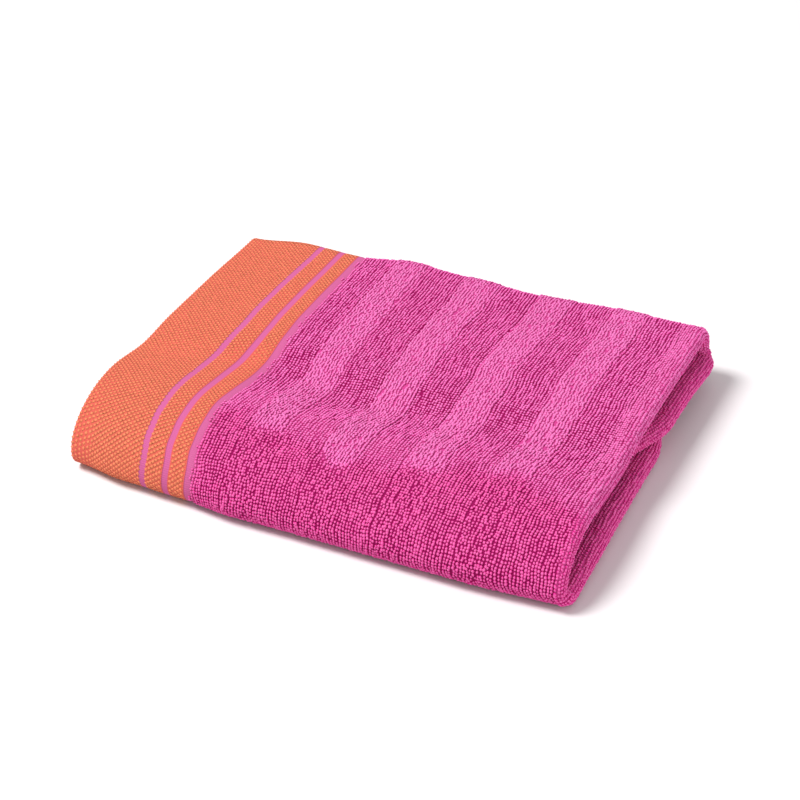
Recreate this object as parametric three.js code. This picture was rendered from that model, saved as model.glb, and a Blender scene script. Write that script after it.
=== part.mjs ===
// A terry bath towel folded for the shelf, in millimetres with Z up.
// The cloth is folded in half crosswise twice, like a book. That gives a pile of four layers,
// with the noses of the folds at the right end (+X) and both hems at the left end.
// The pile is then folded lengthwise in three. One third turns down at the front (-Y) and lies
// on the floor. The other turns down at the back and lies between the two as a flap.
// The whole towel is one closed sheet that runs through all of these folds.

import * as THREE from 'three';

// Cloth
const PILE_THICKNESS = 2.9;                 // terry, over the loops of both faces
const BORDER_THICKNESS = 1.8;               // flat woven border beside each hem
const BORDER_LENGTH = 87;                   // from the hem to the first row of loops
const LAYER_GAP = 0.6;                      // air between two layers of a pile
const LAYER_PITCH = PILE_THICKNESS + LAYER_GAP;
const STACK = 3 * LAYER_PITCH + PILE_THICKNESS;   // height of a pile of four layers

// Crosswise folds, along X
const NOSE_X = 336.5;                       // centre line of both noses at the right end
const LEFT_NOSE_X = 9;                      // centre line of the nose at the left end
const FIRST_HEM_X = 0;
const SECOND_HEM_X = 4;
const NOSE_STEPS = 8;
const TIGHT_NOSE_STEPS = 6;
const CROSSWISE_ROWS = [40, BORDER_LENGTH - 3, BORDER_LENGTH + 4, 122, 156, 190, 224, 258, 290, 316];

// Lengthwise folds, around X
const PILE_GAP = 1.2;                       // air between the flap and the pile on the floor
const UNDER_RADIUS = 13;                    // outside of the front fold, below its widest point
const FLAP_SETBACK = 24;                    // from the trough on top to the flap's selvedge
const SHOULDER = 8;                         // from the flap's selvedge to where the top sinks
const FLOOR_EDGE = 217;                     // selvedge of the pile on the floor

// The towel is uneven. A row for each cross-section, from the left end to the right end:
// backY is the back edge, backTop and middleTop the height of the top there and over the flap,
// backRadius the outside of the back fold, valley the trough in front of the flap, roll the
// crest of the front fold, and frontY the front edge.
const SECTIONS = table(
  ['x', 'backY', 'backTop', 'backRadius', 'middleTop', 'valleyY', 'valleyTop', 'rollY', 'rollTop', 'frontY'],
  [
    [0, 276, 43.6, 14.6, 45.4, 106, 43.6, 62, 48.2, 5],
    [40, 284, 43.8, 14.6, 45.4, 108, 43.0, 58, 48.6, -1],
    [80, 282, 43.8, 14.6, 45.6, 118, 40.4, 54, 47.6, -3],
    [122, 290, 43.8, 14.6, 44.6, 114, 37.4, 58, 45.6, -7],
    [165, 287, 43.6, 14.6, 44.0, 104, 35.8, 60, 44.0, -7],
    [220, 284, 43.4, 14.8, 44.0, 104, 38.4, 56, 43.6, -8],
    [280, 289, 43.6, 15.4, 44.2, 106, 39.8, 52, 43.4, -9],
    [345, 290, 43.4, 16.6, 43.8, 108, 40.4, 50, 43.0, -6],
  ],
);

// The pile varies along the cross-section too, from the flap's selvedge round to the selvedge
// on the floor. at is a place in a bend, from 0 to 1, reach is how far the pile's right end
// stands out there, and press is how thick the pile is against its full height.
const AROUND = table(
  ['bend', 'at', 'reach', 'press'],
  [
    ['flap', 0, -8, 0.8],
    ['flap', 0.4, 8, 1],
    ['flap', 1, 9, 1],
    ['back', 0.5, 2, 1],
    ['top', 0.5, 0, 1],
    ['top', 0.75, 0, 1.25],
    ['top', 1, 0, 1.25],
    ['front', 1, 3, 0.86],
    ['under', 0.5, 6, 0.82],
    ['floor', 0, 7, 0.82],
    ['floor', 0.2, 7, 1.25],
    ['floor', 0.4, 6, 1.25],
    ['floor', 0.6, 5, 1],
    ['floor', 0.75, 5, 1],
    ['floor', 1, -6, 0.85],
  ],
);
const REACH_START = 240;                    // the cloth is drawn in or out from this X on

// Rows of a table as objects, with a value for each named column.
function table(columns, rows) {
  return rows.map((row) => Object.fromEntries(columns.map((name, i) => [name, row[i]])));
}

function mix(a, b, t) {
  return a + (b - a) * t;
}

function ease(t) {
  const c = Math.min(1, Math.max(0, t));
  return c * c * (3 - 2 * c);
}

// A table's values at a place in the column key, eased between the rows on either side.
function between(rows, key, place) {
  const last = rows.length - 1;
  const clamped = Math.min(rows[last][key], Math.max(rows[0][key], place));
  const next = rows.findIndex((row, i) => i > 0 && clamped <= row[key]);
  const a = rows[next - 1];
  const b = rows[next];
  const t = ease((clamped - a[key]) / (b[key] - a[key]));
  const values = {};
  for (const name of Object.keys(a)) values[name] = mix(a[name], b[name], t);
  return values;
}

// Height of the top: level over the flap, down into the trough, up to the front fold's crest.
function topHeight(s, y) {
  const shoulderY = s.valleyY + FLAP_SETBACK + SHOULDER;
  const knots = [
    { y: s.backY - s.backRadius, z: s.backTop },
    { y: mix(shoulderY, s.backY, 0.4), z: s.middleTop },
    { y: shoulderY, z: s.middleTop },
    { y: s.valleyY, z: s.valleyTop },
    { y: s.rollY, z: s.rollTop },
  ];
  const next = Math.max(1, knots.findIndex((knot) => y >= knot.y));
  const a = knots[next - 1];
  const b = knots[next];
  return mix(a.z, b.z, ease((a.y - y) / (a.y - b.y)));
}

// The flap's lower face lies on the pile on the floor, and past it meets the back fold.
function flapHeight(s, y) {
  const past = (y - FLOOR_EDGE) / (s.backY - s.backRadius - FLOOR_EDGE);
  return mix(STACK + PILE_GAP, s.backTop - 2 * s.backRadius, ease(past));
}

// The bends of the cross-section, in order. Each is a curve along the outside of the pile,
// from t = 0 to 1, and steps is the number of lengthwise strips that it gets.
const BENDS = {
  flap: {
    steps: 5,
    curve: (s, t) => {
      const y = mix(s.valleyY + FLAP_SETBACK, s.backY - s.backRadius, t);
      return { y, z: flapHeight(s, y) };
    },
  },
  back: {
    steps: 8,
    curve: (s, t) => {
      const angle = Math.PI * (t - 0.5);
      return {
        y: s.backY - s.backRadius * (1 - Math.cos(angle)),
        z: s.backTop - s.backRadius * (1 - Math.sin(angle)),
      };
    },
  },
  top: {
    steps: 12,
    curve: (s, t) => {
      const y = mix(s.backY - s.backRadius, s.rollY, t);
      return { y, z: topHeight(s, y) };
    },
  },
  front: {
    steps: 5,
    curve: (s, t) => {
      const angle = 0.5 * Math.PI * (1 - t);
      return {
        y: s.rollY - (s.rollY - s.frontY) * Math.cos(angle),
        z: UNDER_RADIUS + (s.rollTop - UNDER_RADIUS) * Math.sin(angle),
      };
    },
  },
  under: {
    steps: 4,
    curve: (s, t) => {
      const angle = 0.5 * Math.PI * t;
      return {
        y: s.frontY + UNDER_RADIUS * (1 - Math.cos(angle)),
        z: UNDER_RADIUS * (1 - Math.sin(angle)),
      };
    },
  },
  floor: {
    steps: 6,
    curve: (s, t) => ({ y: mix(s.frontY + UNDER_RADIUS, FLOOR_EDGE, t), z: 0 }),
  },
};
const BEND_NAMES = Object.keys(BENDS);

// Lengthwise rows of the sheet, from the flap's selvedge to the selvedge on the floor.
function lengthwiseRows() {
  const rows = [];
  for (const bend of BEND_NAMES) {
    const { steps } = BENDS[bend];
    for (let i = 0; i < steps; i += 1) rows.push({ bend, t: i / steps });
  }
  rows.push({ bend: 'floor', t: 1 });
  const order = (bend, t) => BEND_NAMES.indexOf(bend) + t;
  const around = AROUND.map(({ bend, at, reach, press }) => ({ order: order(bend, at), reach, press }));
  return rows.map((row) => ({ ...row, ...between(around, 'order', order(row.bend, row.t)) }));
}

// Place of a point that lies at x along the pile, at a lengthwise row, and at a depth below
// the pile's outer face.
function place(x, row, depth) {
  const s = between(SECTIONS, 'x', x);
  const { curve } = BENDS[row.bend];
  const step = 1e-4;
  const here = curve(s, row.t);
  const before = curve(s, row.t === 1 ? 1 - step : row.t);
  const after = curve(s, row.t === 1 ? 1 : row.t + step);
  const dy = after.y - before.y;
  const dz = after.z - before.z;
  const length = Math.hypot(dy, dz);
  const inward = (depth * row.press) / length;
  const reach = row.reach * ease((x - REACH_START) / (NOSE_X - REACH_START));
  return [x + reach, here.y - dz * inward, here.z + dy * inward];
}

// Middle of the cloth through the pile of four layers, from the first hem to the second.
// The heading is the way the cloth runs, in x and in depth.
function crosswiseRows() {
  const rows = [];
  const depthOf = (layer) => PILE_THICKNESS / 2 + layer * LAYER_PITCH;
  const addRun = (layer, from, to) => {
    const low = Math.min(from, to);
    const high = Math.max(from, to);
    const stops = [low, ...CROSSWISE_ROWS, high];
    const way = Math.sign(to - from);
    if (way < 0) stops.reverse();
    for (const x of stops) rows.push({ x, depth: depthOf(layer), heading: [way, 0] });
  };
  const addNose = (x, side, fromLayer, toLayer, steps) => {
    const middle = (depthOf(fromLayer) + depthOf(toLayer)) / 2;
    const radius = depthOf(fromLayer) - middle;
    for (let i = 1; i < steps; i += 1) {
      const angle = (Math.PI * i) / steps;
      rows.push({
        x: x + side * Math.abs(radius) * Math.sin(angle),
        depth: middle + radius * Math.cos(angle),
        heading: [side * Math.cos(angle), -Math.sign(radius) * Math.sin(angle)],
      });
    }
  };
  addRun(0, FIRST_HEM_X, NOSE_X);
  addNose(NOSE_X, 1, 0, 3, NOSE_STEPS);
  addRun(3, NOSE_X, LEFT_NOSE_X);
  addNose(LEFT_NOSE_X, -1, 3, 2, TIGHT_NOSE_STEPS);
  addRun(2, LEFT_NOSE_X, NOSE_X);
  addNose(NOSE_X, 1, 2, 1, TIGHT_NOSE_STEPS);
  addRun(1, NOSE_X, SECOND_HEM_X);
  return rows.map((row) => {
    const layer = Math.round((row.depth - PILE_THICKNESS / 2) / LAYER_PITCH);
    const inBorder = row.x < BORDER_LENGTH && layer < 2;
    return { ...row, thickness: inBorder ? BORDER_THICKNESS : PILE_THICKNESS };
  });
}

// The closed sheet: a grid of vertices on each face of the cloth, joined along its four edges.
function makeTowelGeometry() {
  const across = crosswiseRows();
  const along = lengthwiseRows();
  const positions = [];
  for (const face of [1, -1]) {
    for (const row of across) {
      const half = (face * row.thickness) / 2;
      const x = row.x + half * row.heading[1];
      const depth = row.depth - half * row.heading[0];
      for (const strip of along) positions.push(...place(x, strip, depth));
    }
  }
  const vertex = (face, i, j) => (face * across.length + i) * along.length + j;
  const index = [];
  const addQuad = (a, b, c, d) => index.push(a, b, c, a, c, d);
  const lastI = across.length - 1;
  const lastJ = along.length - 1;
  for (let i = 0; i < lastI; i += 1) {
    // All layers split their quads along the same diagonal, so that they stay parallel.
    const goesRight = across[i + 1].x > across[i].x;
    const [near, far] = goesRight ? [i, i + 1] : [i + 1, i];
    for (let j = 0; j < lastJ; j += 1) {
      for (const face of [0, 1]) {
        const [a, b] = [vertex(face, near, j), vertex(face, near, j + 1)];
        const [d, c] = [vertex(face, far, j), vertex(face, far, j + 1)];
        if (goesRight === (face === 0)) addQuad(a, b, c, d);
        else addQuad(a, d, c, b);
      }
    }
  }
  for (let i = 0; i < lastI; i += 1) {
    addQuad(vertex(0, i, 0), vertex(0, i + 1, 0), vertex(1, i + 1, 0), vertex(1, i, 0));
    addQuad(vertex(1, i, lastJ), vertex(1, i + 1, lastJ), vertex(0, i + 1, lastJ), vertex(0, i, lastJ));
  }
  for (let j = 0; j < lastJ; j += 1) {
    addQuad(vertex(1, 0, j), vertex(1, 0, j + 1), vertex(0, 0, j + 1), vertex(0, 0, j));
    addQuad(vertex(0, lastI, j), vertex(0, lastI, j + 1), vertex(1, lastI, j + 1), vertex(1, lastI, j));
  }
  const geometry = new THREE.BufferGeometry();
  geometry.setAttribute('position', new THREE.Float32BufferAttribute(positions, 3));
  geometry.setIndex(index);
  geometry.computeVertexNormals();
  geometry.computeBoundingBox();
  return geometry;
}

const towel = new THREE.Mesh(
  makeTowelGeometry(),
  new THREE.MeshStandardMaterial({ name: 'terry', color: 0xd9569f, roughness: 0.95, metalness: 0 }),
);
towel.name = 'towel';

// The origin is on the floor under the middle of the towel.
const middle = towel.geometry.boundingBox.getCenter(new THREE.Vector3());
towel.position.set(-middle.x, -middle.y, 0);

const foldedTowel = new THREE.Group();
foldedTowel.add(towel);

export default foldedTowel;
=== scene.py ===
"""A terry bath towel, folded for the shelf.

The cloth is one sheet that runs through all of its folds. Its loops and the raised grains of
its woven border are separate pieces that lie on the sheet. The tables give the folds as the
towel's solid has them, in its own coordinates, and SHIFT brings them into the frame. Lengths are
in metres, and MM turns millimetres into them.
"""

import math

import bpy
import numpy as np
from bpy.props import FloatProperty, FloatVectorProperty, IntProperty, PointerProperty
from bpy.types import Operator, Panel, PropertyGroup
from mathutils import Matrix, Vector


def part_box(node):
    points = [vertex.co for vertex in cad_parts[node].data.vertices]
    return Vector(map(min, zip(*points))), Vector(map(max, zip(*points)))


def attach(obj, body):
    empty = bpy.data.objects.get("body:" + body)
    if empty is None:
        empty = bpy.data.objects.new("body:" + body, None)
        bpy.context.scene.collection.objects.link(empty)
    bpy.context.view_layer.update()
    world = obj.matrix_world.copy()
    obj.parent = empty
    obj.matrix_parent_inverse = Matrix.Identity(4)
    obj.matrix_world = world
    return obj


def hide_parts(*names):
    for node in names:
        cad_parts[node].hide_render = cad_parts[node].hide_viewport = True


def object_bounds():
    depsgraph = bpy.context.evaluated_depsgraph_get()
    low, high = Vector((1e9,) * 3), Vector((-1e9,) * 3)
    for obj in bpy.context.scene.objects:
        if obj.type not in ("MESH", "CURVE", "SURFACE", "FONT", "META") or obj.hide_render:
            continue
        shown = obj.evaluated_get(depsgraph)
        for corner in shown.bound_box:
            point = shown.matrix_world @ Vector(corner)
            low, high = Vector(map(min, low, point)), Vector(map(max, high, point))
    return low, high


bl_info = {
    "name": "Folded Bath Towel",
    "version": (1, 0, 0),
    "blender": (4, 5, 0),
    "location": "View3D > Sidebar > Towel",
    "description": "A terry bath towel with a woven border, folded for the shelf",
    "category": "Add Mesh",
}

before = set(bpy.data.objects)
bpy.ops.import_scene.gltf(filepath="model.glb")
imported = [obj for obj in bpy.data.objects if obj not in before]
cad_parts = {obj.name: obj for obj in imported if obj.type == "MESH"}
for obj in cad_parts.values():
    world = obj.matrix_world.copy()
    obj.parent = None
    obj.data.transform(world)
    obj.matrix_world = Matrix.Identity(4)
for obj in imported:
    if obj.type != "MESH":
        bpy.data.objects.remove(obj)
CAD_BOX = [list(corner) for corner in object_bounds()]
TOWEL_BOX = [list(corner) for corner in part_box("towel")]

MM = 0.001

# Cloth
PILE_THICKNESS = 2.9 * MM              # terry, over the loops of both faces
BORDER_THICKNESS = 1.8 * MM
LAYER_PITCH = 3.5 * MM
STACK = 3 * LAYER_PITCH + PILE_THICKNESS

# Crosswise folds, along X
NOSE_X = 336.5 * MM
LEFT_NOSE_X = 9 * MM
SECOND_HEM_X = 4 * MM
OUTER_NOSE = 1.5 * LAYER_PITCH         # radius of the cloth's middle
INNER_NOSE = 0.5 * LAYER_PITCH

# Lengthwise folds, around X
PILE_GAP = 1.2 * MM
UNDER_RADIUS = 13 * MM
FLAP_SETBACK = 24 * MM
SHOULDER = 8 * MM
FLOOR_EDGE = 217 * MM
REACH_START = 240 * MM
FLAP, BACK, TOP, FRONT, UNDER, FLOOR = range(6)
LAST = FLOOR + 1

# A row for each cross-section, from the left end to the right end.
SECTION_COLUMNS = (
    "x", "backY", "backTop", "backRadius", "middleTop",
    "valleyY", "valleyTop", "rollY", "rollTop", "frontY",
)
SECTIONS = np.array([
    (0, 276, 43.6, 14.6, 45.4, 106, 43.6, 62, 48.2, 5),
    (40, 284, 43.8, 14.6, 45.4, 108, 43.0, 58, 48.6, -1),
    (80, 282, 43.8, 14.6, 45.6, 118, 40.4, 54, 47.6, -3),
    (122, 290, 43.8, 14.6, 44.6, 114, 37.4, 58, 45.6, -7),
    (165, 287, 43.6, 14.6, 44.0, 104, 35.8, 60, 44.0, -7),
    (220, 284, 43.4, 14.8, 44.0, 104, 38.4, 56, 43.6, -8),
    (280, 289, 43.6, 15.4, 44.2, 106, 39.8, 52, 43.4, -9),
    (345, 290, 43.4, 16.6, 43.8, 108, 40.4, 50, 43.0, -6),
]) * MM

# The pile around the cross-section: the place, how far the right end stands out there in
# millimetres, and how thick the pile is against its full height.
AROUND = np.array([
    (FLAP, -8, 0.8),
    (FLAP + 0.4, 8, 1),
    (FLAP + 1, 9, 1),
    (BACK + 0.5, 2, 1),
    (TOP + 0.5, 0, 1),
    (TOP + 0.75, 0, 1.25),
    (TOP + 1, 0, 1.25),
    (FRONT + 1, 3, 0.86),
    (UNDER + 0.5, 6, 0.82),
    (FLOOR, 7, 0.82),
    (FLOOR + 0.2, 7, 1.25),
    (FLOOR + 0.4, 6, 1.25),
    (FLOOR + 0.6, 5, 1),
    (FLOOR + 0.75, 5, 1),
    (FLOOR + 1, -6, 0.85),
])

# Creases of the top and front, in millimetres: both ends as the distance from the hem and the arc
# behind the front crest, then half the width, and the height.
CREASES = np.array([
    (137, 30, 136, -20, 5, -1.0),
])

# How far the stripes wander along the towel, in millimetres: the arc behind the front crest, then
# the shift at each of these distances from the hem.
WANDER_LENGTHS = np.array([50, 68, 85, 127, 180, 240, 310]) * MM
WANDER = np.array([
    (-68, 4.8, 5.0, 5.0, 3.4, 1.6, 0.0, 0.0),
    (-48, 2.4, 2.5, 2.6, 1.8, 0.8, 0.0, 0.0),
    (-28, 1.0, 1.1, 1.4, 0.6, 0.0, 0.0, 0.0),
    (-4, 0.3, 0.6, 0.4, -0.2, 0.5, 0.0, 0.4),
    (20, 0.0, 0.8, 1.7, 1.4, 0.8, -1.0, 0.0),
    (42, -0.7, 0.3, 2.3, 3.4, 3.2, 1.4, 2.0),
    (66, -0.2, 0.6, 1.8, 3.0, 3.0, 2.6, 3.2),
    (92, 0.6, 2.3, 1.7, 2.1, 2.4, 3.0, 3.4),
    (122, -0.4, 1.1, 0.0, 0.5, 0.6, -0.1, 1.4),
    (150, 0.0, 1.1, 0.0, -0.2, 0.8, 1.2, 2.0),
    (180, 0.4, 1.0, -0.1, 0.2, 2.6, 4.2, 3.7),
    (205, 0.9, 0.6, -0.5, -0.5, 1.5, 4.0, 2.6),
    (230, 1.0, 0.6, -0.5, -0.5, 1.5, 3.5, 2.0),
]) * MM

# Where the lighter top gives way to the front and its painted shade, in millimetres: the distance
# from the hem and the arc behind the front crest. The change takes FRONT_BLEND of cloth.
FRONT_EDGE = np.array([
    (70, -2), (98, -4), (125, -17), (151, -17), (178, -30), (206, -19), (233, -14), (260, 2),
    (287, 9), (314, -2), (336, -10),
]) * MM
FRONT_BLEND = 18 * MM

# Smooth stripes of the border, as distances from the hem.
BORDER_LINES = ((49.5 * MM, 53.9 * MM), (66.7 * MM, 70.9 * MM), (83.2 * MM, 200 * MM))
BORDER_LENGTH = 86.2 * MM
END_LOOPS = 11 * MM                    # loops reach this far in between two piles
FIRST_STRIPE_END = 111 * MM            # the first ribbed stripe is narrower than the rest
LAST_STRIPE = 322 * MM                 # the raised stripe after this is weak
STRIPE_FADE = 5 * MM

# Loops and grains
LOOPS_START = FLAP + 0.55              # none grow further in, between the flap and the pile
FINE_STEPS = 1600                      # points along a row, to place its loops on
LOOP_LIFT = 0.28 * MM                  # middle of a loop above the ground
LIFT_SPREAD = 0.1 * MM                 # how unevenly they stand there
ASIDE = 0.17 * MM                      # how far loops stray across their row
JOLT = 0.17                            # and along it, as a share of their spacing
SWING = 0.45 * MM                      # slow swing of the loops along their row
ROW_DRIFT = 0.12                       # random shift from row to row, as a share of the spacing
LOOP_CLEARANCE = 1.3 * MM              # lowest place of a loop above the floor
GRAIN_CLEARANCE = 0.6 * MM
FIRST_GRAINS = 0.8 * MM                # first and last row of grains, from the hem
LAST_GRAINS = 82 * MM
LINE_MARGIN = 0.4 * MM                 # no grains this close to a smooth stripe

# Loops at the ends: the piece, the stretch of the cloth, the rows, and how far they reach into it.
END_PILES = (
    ("terry_right_end", 1, 9, None),
    ("terry_right_inside", 2, 5, END_LOOPS),
    ("terry_left_end", 3, 4, None),
)

# How loops of each kind stand: how far they arch, how they lean, the spread of their turns and of
# their sizes, and what is added to the seed. Angles are in radians.
LOOP_KINDS = {
    "ribbed": {
        "Arch": 0.45, "Tilt": (0.0, 0.15, 0.2), "Turn Spread": (0.2, 0.2, 0.3),
        "Size Spread": (0.16, 0.16, 0.14), "Seed": 0,
    },
    "raised": {
        "Arch": 0.3, "Tilt": (0.0, 0.25, 0.22), "Turn Spread": (0.15, 0.25, 0.25),
        "Size Spread": (0.2, 0.25, 0.25), "Seed": 1,
    },
    "end": {
        "Arch": 0.3, "Tilt": (0.0, 0.0, 0.0), "Turn Spread": (0.5, 0.5, 0.9),
        "Size Spread": (0.22, 0.22, 0.2), "Seed": 2,
    },
    "front": {
        "Arch": 0.3, "Tilt": (0.0, 0.1, 0.1), "Turn Spread": (0.3, 0.3, 0.45),
        "Size Spread": (0.15, 0.18, 0.18), "Seed": 3,
    },
}


def length_setting(name, description, default):
    """A length that the user can change, in metres."""
    return FloatProperty(
        name=name, description=description, default=default, subtype="DISTANCE", unit="LENGTH",
    )


def lengths_setting(name, description, default):
    """Three lengths or a place, in metres."""
    return FloatVectorProperty(
        name=name, description=description, default=default, subtype="XYZ", unit="LENGTH",
    )


def colour_setting(name, description, default):
    return FloatVectorProperty(
        name=name, description=description, default=default, size=3, min=0, max=1, subtype="COLOR",
    )


class TowelPileSettings(PropertyGroup):
    row_pitch: length_setting("Row Pitch", "Distance between two rows of loops", 2.15 * MM)
    loop_spacing: length_setting("Loop Spacing", "Distance between two loops of a row", 2.12 * MM)
    raised_spacing: length_setting(
        "Raised Spacing", "Distance between two loops of a row in a raised stripe", 1.75 * MM,
    )
    stripe_width: length_setting("Stripe Width", "Width of a ribbed or a raised stripe", 27.1 * MM)
    raised: length_setting("Raised", "How far a raised stripe stands above a ribbed one", 0.75 * MM)
    ribbed_size: lengths_setting(
        "Ribbed Loop", "Half sizes of a loop in a ribbed stripe", (0.95 * MM, 1.16 * MM, 0.8 * MM),
    )
    raised_size: lengths_setting(
        "Raised Loop", "Half sizes of a loop in a raised stripe", (1.04 * MM, 1.6 * MM, 0.5 * MM),
    )
    front_size: lengths_setting(
        "Front Loop", "Half sizes of a loop of the front", (0.98 * MM, 1.28 * MM, 0.85 * MM),
    )
    ribbed_colour: colour_setting("Ribbed Colour", "Loops of the ribbed stripes", (0.80, 0.22, 0.535))
    raised_colour: colour_setting("Raised Colour", "Loops of the raised stripes", (0.74, 0.20, 0.47))
    # Painted shade: a darker copy of the loops' colour, for where one looks into the pile.
    front_shade_colour: colour_setting(
        "Front Colour", "Loops of the front, where one looks into the pile", (0.79, 0.15, 0.41),
    )
    # Painted shade: the ground is darkened as the shade among the loops.
    ground_shade_colour: colour_setting("Ground Colour", "Cloth between the loops", (0.27, 0.006, 0.085))
    # Painted shade low in the loops of the ribbed stripes.
    ribbed_shade_colour: colour_setting(
        "Ribbed Deep Colour", "Lower part of the loops of the ribbed stripes", (0.66, 0.02, 0.25),
    )
    # Painted shade low in the loops of the raised stripes, and on the ground under them.
    raised_shade_colour: colour_setting(
        "Raised Deep Colour", "Lower part of the loops of the raised stripes", (0.74, 0.09, 0.36),
    )
    seed: IntProperty(name="Seed", description="Seed of the loops' unevenness", default=7)


class TowelBorderSettings(PropertyGroup):
    grain_pitch: length_setting(
        "Grain Pitch", "Distance between two raised grains of a row of the weave", 3.4 * MM,
    )
    row_pitch: length_setting(
        "Row Pitch", "Distance between two rows of grains, which are staggered", 2.0 * MM,
    )
    grain_size: lengths_setting(
        "Grain", "Half sizes of a raised grain", (1.58 * MM, 1.5 * MM, 0.19 * MM),
    )
    grain_colour: colour_setting("Grain Colour", "Raised orange grains", (0.79, 0.225, 0.113))
    under_colour: colour_setting("Under Colour", "Threads between the grains", (0.62, 0.107, 0.08))
    line_colour: colour_setting(
        "Line Colour", "Smooth pink stripes of the border", (0.52, 0.106, 0.265),
    )
    seed: IntProperty(name="Seed", description="Seed of the grains' unevenness", default=11)


class TowelStageSettings(PropertyGroup):
    lens: FloatProperty(
        name="Lens", description="Focal length of the camera in millimetres", default=95.0,
    )
    camera_place: lengths_setting(
        "Camera Place", "Where the camera stands", (0.48511, -1.08315, 0.79365),
    )
    camera_pitch: FloatProperty(
        name="Camera Pitch", description="How far the camera looks down",
        default=math.radians(33.06), subtype="ANGLE", unit="ROTATION",
    )
    camera_turn: FloatProperty(
        name="Camera Turn", description="How far the camera is turned from the front",
        default=math.radians(24.20), subtype="ANGLE", unit="ROTATION",
    )
    floor_colour: colour_setting("Floor Colour", "Plain pale floor", (0.81, 0.785, 0.79))
    floor_width: length_setting("Floor Width", "Length of the floor's sides", 8.0)
    sky: FloatProperty(
        name="Sky", description="Strength of the light from all around", default=0.55,
    )
    key: FloatProperty(
        name="Key", description="Power of the large soft light in watts", default=124.0,
    )
    key_place: lengths_setting("Key Place", "Where the large soft light hangs", (-1.72, -0.63, 2.78))
    key_width: length_setting("Key Width", "Width of the large soft light", 1.35)
    fill: FloatProperty(
        name="Fill", description="Power of the low light on the right in watts", default=11.0,
    )
    fill_place: lengths_setting(
        "Fill Place", "Where the low light on the right stands", (1.7, -0.5, 0.35),
    )
    fill_width: length_setting("Fill Width", "Width of the low light on the right", 1.0)


def mix(a, b, t):
    return a + (b - a) * t


def ease(t):
    t = np.clip(t, 0, 1)
    return t * t * (3 - 2 * t)


def between(rows, place):
    """Values of a table's rows at a place in its first column, eased between the rows."""
    keys = rows[:, 0]
    place = np.clip(place, keys[0], keys[-1])
    after = np.clip(np.searchsorted(keys, place), 1, len(keys) - 1)
    t = ease((place - keys[after - 1]) / (keys[after] - keys[after - 1]))
    return mix(rows[after - 1], rows[after], t[..., None])


def top_height(s, y):
    """Height of the top: level over the flap, down into the trough, up to the front crest."""
    shoulder = s["valleyY"] + FLAP_SETBACK + SHOULDER
    knots = [
        (s["backY"] - s["backRadius"], s["backTop"]),
        (mix(shoulder, s["backY"], 0.4), s["middleTop"]),
        (shoulder, s["middleTop"]),
        (s["valleyY"], s["valleyTop"]),
        (s["rollY"], s["rollTop"]),
    ]
    height = knots[-1][1]
    for (y0, z0), (y1, z1) in reversed(list(zip(knots, knots[1:]))):
        height = np.where(y >= y1, mix(z0, z1, ease((y0 - y) / (y0 - y1))), height)
    return height


def flap_curve(s, t):
    y = mix(s["valleyY"] + FLAP_SETBACK, s["backY"] - s["backRadius"], t)
    past = (y - FLOOR_EDGE) / (s["backY"] - s["backRadius"] - FLOOR_EDGE)
    return y, mix(STACK + PILE_GAP, s["backTop"] - 2 * s["backRadius"], ease(past))


def back_curve(s, t):
    angle = math.pi * (t - 0.5)
    y = s["backY"] - s["backRadius"] * (1 - np.cos(angle))
    return y, s["backTop"] - s["backRadius"] * (1 - np.sin(angle))


def top_curve(s, t):
    y = mix(s["backY"] - s["backRadius"], s["rollY"], t)
    return y, top_height(s, y)


def front_curve(s, t):
    angle = 0.5 * math.pi * (1 - t)
    y = s["rollY"] - (s["rollY"] - s["frontY"]) * np.cos(angle)
    return y, UNDER_RADIUS + (s["rollTop"] - UNDER_RADIUS) * np.sin(angle)


def under_curve(s, t):
    angle = 0.5 * math.pi * t
    return s["frontY"] + UNDER_RADIUS * (1 - np.cos(angle)), UNDER_RADIUS * (1 - np.sin(angle))


def floor_curve(s, t):
    y = mix(s["frontY"] + UNDER_RADIUS, FLOOR_EDGE, t)
    return y, np.zeros_like(y)


BEND_CURVES = (flap_curve, back_curve, top_curve, front_curve, under_curve, floor_curve)


def outline(x, around):
    """Outside of the folded towel at x: y and z at a place around the cross-section."""
    sections = between(SECTIONS, x)
    s = {name: sections[..., i] for i, name in enumerate(SECTION_COLUMNS)}
    bend = np.clip(np.floor(around), 0, LAST - 1).astype(int)
    curves = [curve(s, around - bend) for curve in BEND_CURVES]
    y = np.choose(bend, [curve[0] for curve in curves])
    z = np.choose(bend, [curve[1] for curve in curves])
    return y, z


def arc_behind_crest(x, around):
    """Distance along the outside from the front crest, positive towards the back."""
    fine = np.linspace(0, LAST, 1201)
    y, z = outline(np.full_like(fine, NOSE_X / 2), fine)
    lengths = np.concatenate([[0], np.cumsum(np.hypot(np.diff(y), np.diff(z)))])
    crest = np.interp(FRONT, fine, lengths)
    return crest - np.interp(around, fine, lengths)


def relief(x, around):
    """How far creases lift the whole pile off its plain outline."""
    arc = arc_behind_crest(x, around)
    lift = np.zeros_like(arc)
    for x0, arc0, x1, arc1, width, height in CREASES * MM:
        run = np.array((x1 - x0, arc1 - arc0))
        length = np.hypot(*run)
        way = run / length
        along = (x - x0) * way[0] + (arc - arc0) * way[1]
        across = (x - x0) * way[1] - (arc - arc0) * way[0]
        fade = ease(along / width) * ease((length - along) / width)
        lift = lift + height * fade * np.exp(-((across / width) ** 2))
    return lift * ease((around - BACK - 0.3) / 0.3) * ease((FLOOR - 0.3 - around) / 0.3)


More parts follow.
